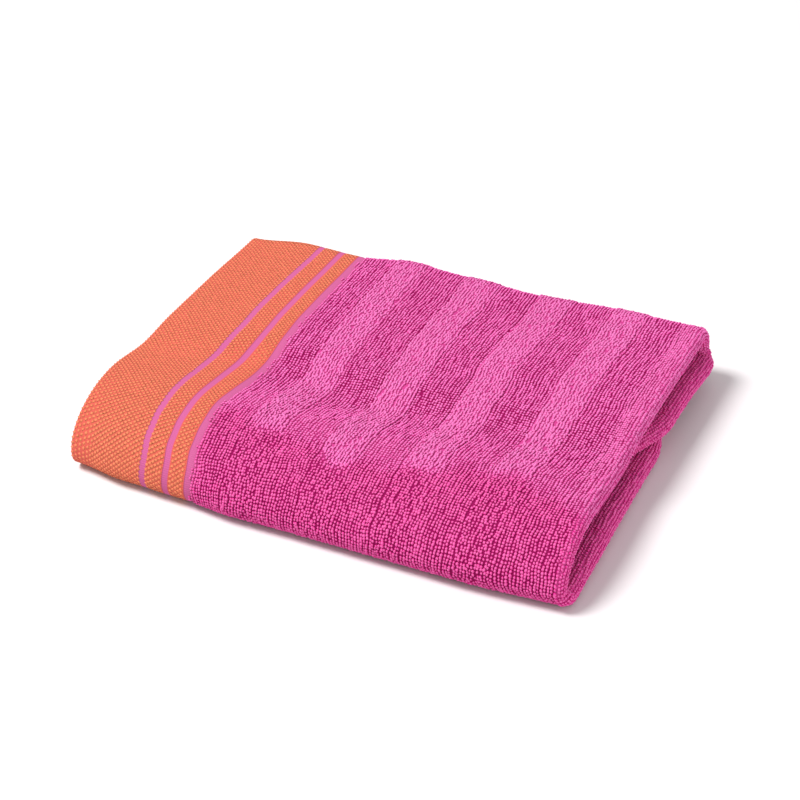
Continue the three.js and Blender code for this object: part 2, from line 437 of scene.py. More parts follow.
def towel_point(x, around, depth):
    """Place in the towel's own coordinates of what lies at x, at a depth below the outline."""
    x, around, depth = np.broadcast_arrays(x, around, depth)
    step = 1e-4
    y, z = outline(x, around)
    y0, z0 = outline(x, np.clip(around - step, 0, LAST))
    y1, z1 = outline(x, np.clip(around + step, 0, LAST))
    dy = y1 - y0
    dz = z1 - z0
    _, reach, press = np.moveaxis(between(AROUND, around), -1, 0)
    inward = (depth * press - relief(x, around)) / np.hypot(dy, dz)
    reach = reach * MM * ease((x - REACH_START) / (NOSE_X - REACH_START))
    return np.stack([x + reach, y - dz * inward, z + dy * inward], axis=-1)


def frame_shift():
    """From the towel's own coordinates to the frame's."""
    around = np.linspace(0, LAST, 601)
    stations = np.linspace(0, NOSE_X, 200)
    points = towel_point(stations[:, None], around[None, :], 0.0)
    low = TOWEL_BOX[0]
    return np.array([low[0], low[1] - points[..., 1].min(), low[2]])


SHIFT = frame_shift()


def crosswise_path():
    """Stretches of the cloth from hem to hem: kind, start x, side, first and last depth."""
    depth = [PILE_THICKNESS / 2 + layer * LAYER_PITCH for layer in range(4)]
    return [
        ("run", 0.0, NOSE_X, depth[0], depth[0]),
        ("nose", NOSE_X, OUTER_NOSE, depth[0], depth[3]),
        ("run", NOSE_X, LEFT_NOSE_X, depth[3], depth[3]),
        ("nose", LEFT_NOSE_X, -INNER_NOSE, depth[3], depth[2]),
        ("run", LEFT_NOSE_X, NOSE_X, depth[2], depth[2]),
        ("nose", NOSE_X, INNER_NOSE, depth[2], depth[1]),
        ("run", NOSE_X, SECOND_HEM_X, depth[1], depth[1]),
    ]


PATH = crosswise_path()


LENGTHS = [abs(x1 - x0) if kind == "run" else math.pi * abs(x1) for kind, x0, x1, _, _ in PATH]
PATH_LENGTH = sum(LENGTHS)


def along_cloth(index, t):
    """Middle of the cloth at t in one stretch: x, depth, and the way the cloth runs there."""
    kind, x0, x1, depth0, depth1 = PATH[index]
    if kind == "run":
        way = math.copysign(1, x1 - x0)
        return mix(x0, x1, t), depth0 + 0 * t, way + 0 * t, 0 * t
    middle = (depth0 + depth1) / 2
    radius = depth0 - middle
    side = math.copysign(1, x1)
    angle = math.pi * t
    x = x0 + x1 * np.sin(angle)
    depth = middle + radius * np.cos(angle)
    return x, depth, side * np.cos(angle), -math.copysign(1, radius) * np.sin(angle)


def on_cloth(index, t, around, height):
    """A point at a height above the middle of the cloth, on the side that shows, in the frame."""
    x, depth, way_x, way_depth = along_cloth(index, np.asarray(t, dtype=float))
    return towel_point(x + height * way_depth, around, depth - height * way_x) + SHIFT


def hem_distance(index, t):
    """Length of cloth to the nearer hem."""
    length = sum(LENGTHS[:index]) + t * LENGTHS[index]
    return np.minimum(length, PATH_LENGTH - length)


def drift(x, around):
    """How far the stripes wander along the towel, as the cloth isn't folded quite square."""
    x, arc = np.broadcast_arrays(x, arc_behind_crest(x, around))
    shifts = between(WANDER, arc)[..., 1:]
    place = np.interp(x, WANDER_LENGTHS, np.arange(len(WANDER_LENGTHS)))
    before = np.clip(np.floor(place), 0, len(WANDER_LENGTHS) - 2).astype(int)
    first = np.take_along_axis(shifts, before[..., None], -1)[..., 0]
    second = np.take_along_axis(shifts, before[..., None] + 1, -1)[..., 0]
    shift = mix(first, second, ease(place - before))
    return shift * ease((around - BACK) / 0.5) * ease((FLOOR - around) / 0.5)


def drifted(t, around):
    """Place on the first run of what the pattern has at t, with the stripes' wandering added."""
    run = LENGTHS[0]
    near_ends = ease(t * run / (12 * MM)) * ease((1 - t) * run / (15 * MM))
    return t + drift(t * run, around) / run * near_ends


def row_wander(x, around):
    """Small unevenness of the rows of loops, shared by neighbouring rows."""
    arc = arc_behind_crest(x, around)
    long = np.sin(arc / (5.1 * MM) + x / (19 * MM))
    long *= np.sin(arc / (11.3 * MM) - x / (8.7 * MM) + 1.0)
    short = np.sin(arc / (3.1 * MM) - x / (13 * MM) + 2.0) * np.sin(x / (21 * MM) + 0.5)
    return 0.25 * MM * long + 0.12 * MM * short


def stripe(settings, length):
    """1 in a raised stripe of the terry and 0 in a ribbed one, at a length from the hem."""
    place = (length - FIRST_STRIPE_END) / settings.stripe_width
    part = place % 2.0
    last = 1 - 0.65 * ease((length - LAST_STRIPE) / STRIPE_FADE)
    return np.where(place < 0, 0.0, ease(part / 0.03) * ease((1.0 - part) / 0.18)) * last


def front_edge(x):
    """Arc behind the front crest at which the front begins, a little ragged."""
    return between(FRONT_EDGE, x)[..., 1] + 2 * MM * np.sin(x / (5 * MM))


def crest_light(x, around):
    """How much lighter the ribs are along the crest above the front: painted light on the crest."""
    x, arc = np.broadcast_arrays(x, arc_behind_crest(x, around))
    behind = arc - front_edge(x)
    right = ease((x - 205 * MM) / (40 * MM))
    return mix(0.75, 0.35, right) * ease(behind / (7 * MM)) * ease((40 * MM - behind) / (18 * MM))


def front_share(x, around):
    """1 where one looks straight into the pile, as on the front, and 0 on the top."""
    x, arc = np.broadcast_arrays(x, arc_behind_crest(x, around))
    front = ease((front_edge(x) + FRONT_BLEND / 2 - arc) / FRONT_BLEND)
    return front + ease((BACK + 0.6 - around) / 0.4)


def is_terry(index, t, around):
    """1 where loops stand on the side that shows, and 0 on the border and below the towel."""
    outside = 1.0 if index in (0, 1, 3) else 0.0
    if index == 2:
        from_end = np.minimum(t, 1 - t) * LENGTHS[index]
        outside = 1 - ease((from_end - END_LOOPS) / (3 * MM))
    past_border = ease((hem_distance(index, t) - BORDER_LENGTH) / (1.5 * MM))
    above_floor = 1 - ease((around - (UNDER + 0.75)) / 0.2) if index == 0 else 1.0
    return outside * past_border * above_floor


# Heights above the middle of the cloth.
RIBBED_GROUND = 0.15 * MM
RAISED_GROUND = 0.25 * MM
BORDER_FACE = BORDER_THICKNESS / 2


def ground_height(settings, index, t, around):
    """The side of the cloth that shows, below the loops or as the border's face."""
    length = hem_distance(index, t)
    raised = 0.5
    if index == 0:
        raised = stripe(settings, length) * (1 - 0.8 * front_share(length, around))
    under_loops = RIBBED_GROUND + (settings.raised + RAISED_GROUND - RIBBED_GROUND) * raised
    in_border = (length < BORDER_LENGTH + 3 * MM) & (index in (0, 6))
    plain = np.where(in_border, BORDER_FACE, PILE_THICKNESS / 2)
    return mix(plain, under_loops, is_terry(index, t, around))


def new_object(name, data):
    made = bpy.data.objects.new(name, data)
    bpy.context.scene.collection.objects.link(made)
    return made


def add_node(tree, kind, inputs=None, **options):
    """A node with its options set, and each input linked to a socket or given a value."""
    node = tree.nodes.new(kind)
    for option, value in options.items():
        setattr(node, option, value)
    for key, value in (inputs or {}).items():
        socket = node.inputs[key]
        if isinstance(value, bpy.types.NodeSocket):
            tree.links.new(value, socket)
        else:
            socket.default_value = value
    return node


def new_material(name):
    """An empty material and its nodes."""
    material = bpy.data.materials.new(name)
    material.use_nodes = True
    material.node_tree.nodes.clear()
    return material, material.node_tree


def shade(tree, inputs):
    """The shader of a material, with its inputs."""
    shader = add_node(tree, "ShaderNodeBsdfPrincipled", inputs)
    add_node(tree, "ShaderNodeOutputMaterial", {"Surface": shader.outputs["BSDF"]})


def shade_cotton(tree, colour, threads, strength, depth, roughness=0.95, sheen=0.03):
    """The shader that all of the towel's yarns share, with their threads as a bump."""
    bump = add_node(tree, "ShaderNodeBump", {
        "Height": threads, "Strength": strength, "Distance": depth,
    })
    shade(tree, {
        "Base Color": colour, "Normal": bump.outputs["Normal"], "Roughness": roughness,
        "Sheen Weight": sheen, "Sheen Roughness": 0.45, "Sheen Tint": (1.0, 0.7, 0.85, 1.0),
        "Specular IOR Level": 0.03,
    })


def colour4(colour):
    return (*colour, 1.0)


def calculate(tree, operation, first, second, **options):
    """Result of a Math node on two sockets or values."""
    inputs = {0: first, 1: second}
    return add_node(tree, "ShaderNodeMath", inputs, operation=operation, **options).outputs[0]


def calculate_vector(tree, operation, first, second):
    """The same with vectors, where the second of a scaling is a number."""
    inputs = {0: first, "Scale" if operation == "SCALE" else 1: second}
    return add_node(tree, "ShaderNodeVectorMath", inputs, operation=operation).outputs[0]


def painted(tree, name):
    """Value of one of the mesh's attributes in a material."""
    return add_node(tree, "ShaderNodeAttribute", attribute_name=name).outputs["Fac"]


def mix_colours(tree, factor, first, second):
    """Both colours mixed by the factor. Sockets go by number, as their names repeat."""
    inputs = {0: factor, 6: first, 7: second}
    return add_node(tree, "ShaderNodeMix", inputs, data_type="RGBA").outputs[2]


def noise(tree, scale, detail=2.0, roughness=0.5):
    """Noise in the object's own coordinates."""
    place = add_node(tree, "ShaderNodeTexCoord")
    return add_node(tree, "ShaderNodeTexNoise", {
        "Vector": place.outputs["Object"], "Scale": scale, "Detail": detail, "Roughness": roughness,
    }).outputs["Fac"]


def remap(tree, value, low, high, to_low=0.0, to_high=1.0):
    return add_node(tree, "ShaderNodeMapRange", {
        "Value": value, "From Min": low, "From Max": high, "To Min": to_low, "To Max": to_high,
    }).outputs["Result"]


YARN_TWIST = (2600.0, 3.0, 0.6)        # scale, detail and roughness of the noise


def loop_material(pile):
    """Cotton loops: tint follows the stripe; painted shade darkens them down into the pile and on the
    front.
    """
    material, tree = new_material("terry_loops")
    tint = painted(tree, "tint")
    loops = mix_colours(tree, tint, colour4(pile.ribbed_colour), colour4(pile.raised_colour))
    # Painted shade where one looks into the pile, and under the end noses.
    loops = mix_colours(tree, painted(tree, "pile_shade"), loops, colour4(pile.front_shade_colour))
    # Painted shade: the lower part of each loop takes a darker colour, by its height in the bead.
    ribbed_painted_shade = colour4(pile.ribbed_shade_colour)
    painted_low_shade = mix_colours(tree, tint, ribbed_painted_shade, colour4(pile.raised_shade_colour))
    specks = remap(tree, noise(tree, 800.0), 0.35, 0.65, -0.15, 0.15)
    height = remap(tree, painted(tree, "tip"), 0.45, 0.95)
    height = calculate(tree, "ADD", height, specks, use_clamp=True)
    colour = mix_colours(tree, height, painted_low_shade, loops)
    shade_cotton(tree, colour, noise(tree, *YARN_TWIST), 0.5, 0.25 * MM)
    return material


def grain_material(border):
    """Raised orange weft of the border."""
    material, tree = new_material("border_grains")
    dark = tuple(0.86 * channel for channel in border.grain_colour)
    colour = mix_colours(tree, painted(tree, "tint"), colour4(dark), colour4(border.grain_colour))
    twist = noise(tree, *YARN_TWIST)
    shade_cotton(tree, colour, twist, 0.35, 0.2 * MM, roughness=0.9, sheen=0.02)
    return material


def cloth_material(pile, border):
    """The sheet: ground under the loops painted dark as their shade, woven threads, and smooth lines in
    the border.
    """
    material, tree = new_material("towel_sheet")
    place = add_node(tree, "ShaderNodeUVMap", uv_map="cloth").outputs["UV"]
    split = add_node(tree, "ShaderNodeSeparateXYZ", {"Vector": place})
    length = split.outputs["X"]
    soft = 0.25 * MM
    # Painted shadow: a darker copy of the line colour in a narrow band at each smooth line's left edge.
    groove = 0.5 * MM
    colour = colour4(border.under_colour)
    shade = tuple(0.6 * channel for channel in border.line_colour)
    for start, end in BORDER_LINES:
        into_groove = remap(tree, length, start - groove, start)
        out_of_groove = remap(tree, length, start, start + groove, 1.0, 0.0)
        edge_shadow = calculate(tree, "MULTIPLY", into_groove, out_of_groove)
        enters = remap(tree, length, start - soft, start + soft)
        leaves = remap(tree, length, end - soft, end + soft, 1.0, 0.0)
        inside = calculate(tree, "MULTIPLY", enters, leaves)
        colour = mix_colours(tree, inside, colour, colour4(border.line_colour))
        colour = mix_colours(tree, edge_shadow, colour, colour4(shade))
    in_terry = remap(tree, length, BORDER_LENGTH + 1 * MM, BORDER_LENGTH + 6 * MM)
    # Painted shade of the ground between the loops: lighter under raised stripes and on the crest, dark
    # on the front.
    raised = remap(tree, painted(tree, "raised"), 0.0, 1.0, 0.0, 0.55)
    painted_ground_shade = colour4(pile.ground_shade_colour)
    ground = mix_colours(tree, raised, painted_ground_shade, colour4(pile.raised_shade_colour))
    colour = mix_colours(tree, in_terry, colour, ground)
    threads = add_node(tree, "ShaderNodeTexWave", {
        "Vector": place, "Scale": 220.0, "Distortion": 0.6, "Detail": 1.0,
    }, wave_type="BANDS", bands_direction="Y")
    rough = calculate(tree, "ADD", threads.outputs["Fac"], noise(tree, 1800.0))
    shade_cotton(tree, colour, rough, 0.4, 0.25 * MM)
    return material


TUFT_INPUTS = (
    ("Geometry", "Geometry"), ("Half Size", "Vector"), ("Arch", "Float"), ("Tilt", "Vector"),
    ("Turn Spread", "Vector"), ("Size Spread", "Vector"), ("Seed", "Int"), ("Finish", "Material"),
)
LOOP_BEADS = ("GeometryNodeMeshIcoSphere", {"Radius": 1.0, "Subdivisions": 1})
GRAIN_BEADS = ("GeometryNodeMeshUVSphere", {"Segments": 4, "Rings": 2, "Radius": 1.0})
SIZE_SEED = 50.0                       # keeps the random sizes apart from the random turns


def carried(tree, name, kind):
    """One of the carriers' attributes in Geometry Nodes."""
    inputs = {"Name": name}
    return add_node(tree, "GeometryNodeInputNamedAttribute", inputs, data_type=kind).outputs[0]


def tuft_tree(name, beads):
    """Geometry Nodes: a small arched bead of yarn, made by the node given, on every carrier point.

    The carriers hold the way each bead faces, the way its row runs, its size and its tint.
    """
    tree = bpy.data.node_groups.new(name, "GeometryNodeTree")
    sockets = tree.interface
    sockets.new_socket("Geometry", in_out="OUTPUT", socket_type="NodeSocketGeometry")
    for label, kind in TUFT_INPUTS:
        sockets.new_socket(label, in_out="INPUT", socket_type="NodeSocket" + kind)
    given = add_node(tree, "NodeGroupInput").outputs

    bead = add_node(tree, *beads)
    place = add_node(tree, "GeometryNodeInputPosition")
    xyz = add_node(tree, "ShaderNodeSeparateXYZ", {"Vector": place.outputs[0]})
    squared = calculate(tree, "MULTIPLY", xyz.outputs["Y"], xyz.outputs["Y"])
    fall = calculate(tree, "MULTIPLY", squared, given["Arch"])
    offset = add_node(tree, "ShaderNodeCombineXYZ", {"Z": calculate(tree, "MULTIPLY", fall, -1.0)})
    arched = add_node(tree, "GeometryNodeSetPosition", {
        "Geometry": bead.outputs["Mesh"], "Offset": offset.outputs[0],
    })
    # Height within the bead, which the loop material turns into painted shade low in the pile.
    tipped = add_node(tree, "GeometryNodeStoreNamedAttribute", {
        "Geometry": arched.outputs[0], "Name": "tip", "Value": remap(tree, xyz.outputs["Z"], -1.0, 1.0),
    }, data_type="FLOAT", domain="POINT")
    smooth = add_node(tree, "GeometryNodeSetShadeSmooth", {"Geometry": tipped.outputs[0]})

    upright = add_node(tree, "FunctionNodeAxesToRotation", {
        "Primary Axis": carried(tree, "facing", "FLOAT_VECTOR"),
        "Secondary Axis": carried(tree, "row", "FLOAT_VECTOR"),
    }, primary_axis="Z", secondary_axis="Y")
    turn = add_node(tree, "FunctionNodeRandomValue", {
        "Min": calculate_vector(tree, "SCALE", given["Turn Spread"], -1.0),
        "Max": given["Turn Spread"], "Seed": given["Seed"],
    }, data_type="FLOAT_VECTOR")
    by = add_node(tree, "FunctionNodeEulerToRotation", {
        "Euler": calculate_vector(tree, "ADD", turn.outputs[0], given["Tilt"]),
    })
    rotation = add_node(tree, "FunctionNodeRotateRotation", {
        "Rotation": upright.outputs[0], "Rotate By": by.outputs[0],
    }, rotation_space="LOCAL")
    whole = (1.0, 1.0, 1.0)
    grown = add_node(tree, "FunctionNodeRandomValue", {
        "Min": calculate_vector(tree, "SUBTRACT", whole, given["Size Spread"]),
        "Max": calculate_vector(tree, "ADD", whole, given["Size Spread"]),
        "Seed": calculate(tree, "ADD", given["Seed"], SIZE_SEED),
    }, data_type="FLOAT_VECTOR")
    scale = calculate_vector(tree, "MULTIPLY", grown.outputs[0], given["Half Size"])
    scale = calculate_vector(tree, "SCALE", scale, carried(tree, "size", "FLOAT"))
    tufts = add_node(tree, "GeometryNodeInstanceOnPoints", {
        "Points": given["Geometry"], "Instance": smooth.outputs[0],
        "Rotation": rotation.outputs[0], "Scale": scale,
    })
    joined = add_node(tree, "GeometryNodeRealizeInstances", {"Geometry": tufts.outputs[0]})
    finished = add_node(tree, "GeometryNodeSetMaterial", {
        "Geometry": joined.outputs[0], "Material": given["Finish"],
    })
    add_node(tree, "NodeGroupOutput", {"Geometry": finished.outputs[0]})
    return tree


def grow_tufts(name, tree, carriers, values):
    """A piece of the pile: the tree run on its carriers, as one plain mesh."""
    mesh = bpy.data.meshes.new(name + "_carriers")
    mesh.from_pydata(carriers["place"].tolist(), [], [])
    for key in ("facing", "row", "size", "tint", "pile_shade"):
        numbers = np.ascontiguousarray(carriers[key], dtype=np.float32)
        kind, field = ("FLOAT", "value") if numbers.ndim == 1 else ("FLOAT_VECTOR", "vector")
        attribute = mesh.attributes.new(key, kind, "POINT")
        attribute.data.foreach_set(field, numbers.ravel())
    carrier = new_object(name + "_carriers", mesh)
    modifier = carrier.modifiers.new("Tufts", "NODES")
    modifier.node_group = tree
    for item in tree.interface.items_tree:
        if item.in_out == "INPUT" and item.name in values:
            modifier[item.identifier] = values[item.name]
    graph = bpy.context.evaluated_depsgraph_get()
    grown = bpy.data.meshes.new_from_object(carrier.evaluated_get(graph), depsgraph=graph)
    piece = new_object(name, grown)
    bpy.data.objects.remove(carrier)
    for key in ("facing", "row", "size"):
        spare = grown.attributes.get(key)
        if spare is not None:
            grown.attributes.remove(spare)
    if not grown.polygons:
        raise RuntimeError(name + " came out empty")
    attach(piece, "root")
    return piece


def row_marks(points, fine, spacing, phase, jolts):
    """Places around the towel along one row, a spacing apart, counted from the front crest."""
    steps = np.linalg.norm(np.diff(points, axis=0), axis=1)
    arc = np.concatenate([[0], np.cumsum(steps)])
    arc -= np.interp(FRONT, fine, arc)
    first = math.ceil(arc[0] / spacing) + 1
    last = math.floor(arc[-1] / spacing) - 1
    marks = (np.arange(first, last) + phase) * spacing
    if jolts is not None:
        marks += jolts(marks)
    return np.interp(marks, arc, fine)


def wavering(count, chance):
    """Random values around 0 in which neighbours of a row are alike."""
    values = chance.normal(0, 1, count + 2)
    return 0.5 * values[:-2] + 0.8 * values[1:-1] + 0.5 * values[2:]


def carriers_on(index, t, around, height):
    """Places, outward directions and row directions for points on one stretch of the cloth."""
    small = 0.5 * MM / LENGTHS[index]
    place = on_cloth(index, t, around, height)
    ahead = on_cloth(index, np.clip(t + small, 0, 1), around, height)
    behind = on_cloth(index, np.clip(t - small, 0, 1), around, height)
    left = on_cloth(index, t, np.clip(around + 2e-3, 0, LAST), height)
    right = on_cloth(index, t, np.clip(around - 2e-3, 0, LAST), height)
    along = left - right
    facing = np.cross(along, ahead - behind)
    along /= np.linalg.norm(along, axis=-1, keepdims=True)
    facing /= np.linalg.norm(facing, axis=-1, keepdims=True)
    outward = on_cloth(index, t, around, height + 0.5 * MM) - place
    facing *= np.sign(np.sum(facing * outward, axis=-1, keepdims=True))
    return {"place": place, "facing": facing, "row": along}


def loop_rows(index, rows, spacing, ends, chance):
    """Loops of all rows: t, place around, and how far each is off its row and the usual size."""
    fine = np.linspace(*ends, FINE_STEPS)
    columns = []
    phase = 0.0
    for row in rows:
        def jolts(marks):
            swing = SWING * np.sin(row * LENGTHS[index] / (8 * MM) + marks / (10 * MM))
            return swing + JOLT * spacing * chance.uniform(-1, 1, len(marks))

        phase = 0.9 * phase + chance.normal(0, ROW_DRIFT)
        around = row_marks(on_cloth(index, row, fine, 0.0), fine, spacing, phase, jolts)
        count = len(around)
        aside = wavering(count, chance)
        columns.append((np.full(count, row), around, aside, wavering(count, chance)))
    return [np.concatenate(column) for column in zip(*columns)]


def stripe_shift(settings, length, around, raised, chance):
    """How far loops of the first run stand off their rows, for the weave's unevenness."""
    loose = raised * chance.uniform(-0.5, 0.5, len(length)) * MM
    shift = row_wander(length, around) * (1 + front_share(length, around)) + loose
    double = 2 * settings.stripe_width
    from_edge = (length - FIRST_STRIPE_END + double / 2) % double - double / 2
    parted = np.sign(from_edge) * np.exp(-np.abs(from_edge) / (1.3 * MM))
    return shift + 0.55 * MM * parted


def loop_tints(settings, index, t, length, around, raised):
    """Each loop's tint, from its combing and painted light on the crest, and its share of painted
    shade.
    """
    if index > 0:
        # Painted shade on the lower part of the end noses.
        below = ease((t - 0.35) / 0.3) if index == 1 else 1.0
        into_pile = front_share(NOSE_X, around)
        return (1 - below) * (1 - into_pile), np.maximum(0.6 * below, into_pile)
    into_pile = front_share(length, around)
    part = ((length - FIRST_STRIPE_END) / settings.stripe_width) % 1.0
    end_light = 0.8 * ease((length - LAST_STRIPE) / STRIPE_FADE)
    # Painted light on the crest; the weak last stripe is lighter too.
    lighter = np.maximum(end_light, crest_light(length, around))
    combed = np.maximum(raised * mix(1.0, 0.6, ease(part)), lighter) * (1 - into_pile)
    # Painted shade: the tint drops towards the front edge and below it.
    behind = arc_behind_crest(length, around) - front_edge(length)
    return combed * mix(0.45, 1.0, ease((behind + 2 * MM) / (20 * MM))), into_pile


def terry_carriers(settings, index, row_count, spacing, ends, chance, reach=None):
    """Loop carriers on one stretch, or up to a reach from its start: rows across the towel."""
    share = 1.0 if reach is None else reach / LENGTHS[index]
    rows = (np.arange(row_count) + 0.5) / row_count * share
    t, around, asides, sizes = loop_rows(index, rows, spacing, ends, chance)
    length = hem_distance(index, t)
    shift = ASIDE * asides
    raised = np.full_like(t, 0.5)
    if index == 0:
        raised = stripe(settings, length)
        shift += stripe_shift(settings, length, around, raised, chance)
    t = np.clip(t + shift / LENGTHS[index], 0, 1)
    uneven = LIFT_SPREAD * chance.normal(0, 1, len(t))
    height = ground_height(settings, index, t, around) + LOOP_LIFT + uneven
    limit = mix(3.4, 2.2, raised) + 3 * front_share(length, around)
    left_out = wavering(len(t), chance) > limit
    keep = (is_terry(index, t, around) > 0.5) & ~left_out
    combed, into_pile = loop_tints(settings, index, t, length, around, raised)
    if index == 0:
        t = drifted(t, around)
    start = ease((length - BORDER_LENGTH) / (5 * MM))
    # The tint carries painted light on the crest and painted shade near the front.
    tint = combed + 0.6 * (1 - start) + chance.normal(0, 0.12, len(t))
    carriers = carriers_on(index, t, around, height)
    return {
        **carriers,
        "tint": np.clip(tint, 0, 1),
        "size": (1 + 0.08 * sizes) * mix(0.8, 1.0, start),
        "pile_shade": into_pile,
        "raised": raised,
        "around": around,
        "keep": keep & (carriers["place"][:, 2] > LOOP_CLEARANCE),
    }


def pick(carriers, chosen=True):
    chosen = chosen & carriers["keep"]
    return {key: values[chosen] for key, values in carriers.items()}


class TOWEL_OT_pile(Operator):
    """Grow the loops of the terry on the outside of the folded towel"""

    bl_idname = "towel.pile"
    bl_label = "Terry Pile"

    def execute(self, context):
        settings = context.scene.towel_pile
        chance = np.random.default_rng(settings.seed)
        tree = tuft_tree("towel_loops", LOOP_BEADS)
        finish = loop_material(settings)

        def grow(name, kind, size, carriers):
            values = {"Half Size": size, "Finish": finish, **LOOP_KINDS[kind]}
            values["Seed"] += settings.seed
            grow_tufts(name, tree, carriers, values)

        rows = round(LENGTHS[0] / settings.row_pitch)
        face_ends = (LOOPS_START, FLOOR)
        plain = terry_carriers(settings, 0, rows, settings.loop_spacing, face_ends, chance)
        dense = terry_carriers(settings, 0, rows, settings.raised_spacing, face_ends, chance)
        for kind, face, size in (
            ("ribbed", plain, settings.ribbed_size), ("raised", dense, settings.raised_size),
        ):
            in_kind = (face["raised"] > 0.4) == (kind == "raised")
            on_back = face["around"] < TOP
            on_top = ~on_back & (face["pile_shade"] < 0.5)
            grow("terry_back_" + kind, kind, size, pick(face, in_kind & on_back))
            grow("terry_top_" + kind, kind, size, pick(face, in_kind & on_top))
        in_front = (plain["around"] >= TOP) & (plain["pile_shade"] >= 0.5)
        grow("terry_front", "front", settings.front_size, pick(plain, in_front))
        for name, index, count, reach in END_PILES:
            loops = terry_carriers(
                settings, index, count, settings.loop_spacing, (0.0, LAST), chance, reach,
            )
            grow(name, "end", settings.front_size, pick(loops))
        return {"FINISHED"}


class TOWEL_OT_border(Operator):
    """Weave the raised orange grains of the border"""

    bl_idname = "towel.border"
    bl_label = "Woven Border"

    def execute(self, context):
        settings = context.scene.towel_border
        chance = np.random.default_rng(settings.seed)
        tree = tuft_tree("towel_grains", GRAIN_BEADS)
        fine = np.linspace(LOOPS_START, FLOOR, FINE_STEPS)
        lengths = np.arange(FIRST_GRAINS, LAST_GRAINS, settings.row_pitch)
        rows = []
        for i, length in enumerate(lengths):
            if any(start - LINE_MARGIN < length < end + LINE_MARGIN for start, end in BORDER_LINES):
                continue
            t = length / LENGTHS[0]
            points = on_cloth(0, t, fine, BORDER_FACE)
            around = row_marks(points, fine, settings.grain_pitch, 0.5 * (i % 2), None)
            rows.append((np.full(len(around), t), around))
        t, around = (np.concatenate(column) for column in zip(*rows))
        carriers = carriers_on(0, drifted(t, around), around, BORDER_FACE)
        carriers["tint"] = chance.random(len(t))
        carriers["size"] = np.ones(len(t))
        carriers["pile_shade"] = np.zeros(len(t))
        carriers["keep"] = carriers["place"][:, 2] > GRAIN_CLEARANCE
        piece = grow_tufts("border_grains", tree, pick(carriers), {
            "Half Size": settings.grain_size, "Arch": 0.0, "Tilt": (0.0, 0.0, 0.0),
            "Turn Spread": (0.05, 0.05, 0.2), "Size Spread": (0.1, 0.1, 0.1), "Seed": settings.seed,
            "Finish": grain_material(settings),
        })
        return {"FINISHED"}


# Stations of the sheet: how many steps each stretch and each bend gets.
STRETCH_STEPS = (100, 16, 28, 8, 28, 8, 28)
BEND_STEPS = (20, 20, 66, 26, 10, 18)


def stations(settings, index):
    """Places along one stretch, with both sides of each raised stripe's sharp edge."""
    even = np.linspace(0, 1, STRETCH_STEPS[index] + 1)
    if index > 0:
        return even[1:]
    run = LENGTHS[0]
    edges = np.arange(FIRST_STRIPE_END, run, 2 * settings.stripe_width)
    return np.unique(np.concatenate([even, edges / run, (edges + 0.8 * MM) / run]))


def ground_tint(settings, index, length, around):
    """How light the painted shade of the ground is: dark where one looks straight into the pile,
    lighter under raised stripes and on the crest.
    """
    if index > 0:
        return np.ones_like(around)
    combed = np.maximum(stripe(settings, length), crest_light(length, around))
    return combed * (1 - front_share(length, around))


def sheet_rows(settings, around):
    """Both faces of the sheet from hem to hem, with the length of cloth and the ground's painted shade
    at each place.
    """
    shown = []
    hidden = []
    lengths = []
    tints = []
    for index in range(len(PATH)):
        for t in stations(settings, index):
            length = hem_distance(index, t)
            half = BORDER_THICKNESS / 2 if length < BORDER_LENGTH else PILE_THICKNESS / 2
            height = ground_height(settings, index, t, around)
            place = drifted(t, around) if index == 0 else t
            shown.append(on_cloth(index, place, around, height))
            hidden.append(on_cloth(index, place, around, np.full_like(around, -half)))
            lengths.append(np.full_like(around, length))
            tints.append(ground_tint(settings, index, length, around))
    return np.array([shown, hidden]), np.array(lengths), np.array(tints)


def sheet_faces(rows, columns):
    """Quads of a closed sheet whose two faces are grids of the same size."""
    shown = np.arange(rows * columns).reshape(rows, columns)
    hidden = shown + rows * columns

    def quads(*corners):
        return np.stack(corners, axis=-1).reshape(-1, 4)

    def face(grid):
        return quads(grid[:-1, :-1], grid[:-1, 1:], grid[1:, 1:], grid[1:, :-1])

    def edge(line, other):
        return quads(line[:-1], line[1:], other[1:], other[:-1])

    return np.concatenate([
        face(shown),
        face(hidden.T),
        edge(shown[:, 0], hidden[:, 0]),
        edge(hidden[:, -1], shown[:, -1]),
        edge(hidden[0], shown[0]),
        edge(shown[-1], hidden[-1]),
    ]).tolist()


class TOWEL_OT_cloth(Operator):
    """Lay the sheet of cloth through all of its folds"""

    bl_idname = "towel.cloth"
    bl_label = "Folded Cloth"

    def execute(self, context):
        settings = context.scene.towel_pile
        around = [bend + i / steps for bend, steps in enumerate(BEND_STEPS) for i in range(steps)]
        around = np.array([*around, LAST], dtype=float)
        faces, lengths, tints = sheet_rows(settings, around)
        rows, columns = faces.shape[1:3]
        mesh = bpy.data.meshes.new("towel_cloth")
        mesh.from_pydata(faces.reshape(-1, 3).tolist(), [], sheet_faces(rows, columns))
        uv = mesh.uv_layers.new(name="cloth")
        arc = arc_behind_crest(0.0, around)
        flat = np.stack([lengths, np.broadcast_to(arc, lengths.shape)], axis=-1).reshape(-1, 2)
        flat = np.concatenate([flat, flat])
        corners = np.empty(len(mesh.loops), dtype=np.int32)
        mesh.loops.foreach_get("vertex_index", corners)
        uv.data.foreach_set("uv", flat[corners].ravel())
        # How light the ground's painted shade is, for the sheet's material.
        raised = mesh.attributes.new("raised", "FLOAT", "POINT")
        raised.data.foreach_set("value", np.concatenate([tints, tints]).astype(np.float32).ravel())
        mesh.shade_smooth()
        mesh.materials.append(cloth_material(settings, context.scene.towel_border))
        cloth = new_object("towel_cloth", mesh)
        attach(cloth, "root")
        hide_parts("towel")
        return {"FINISHED"}


FLOOR_GAP = 0.1 * MM                   # keeps the towel's underside clear of the floor


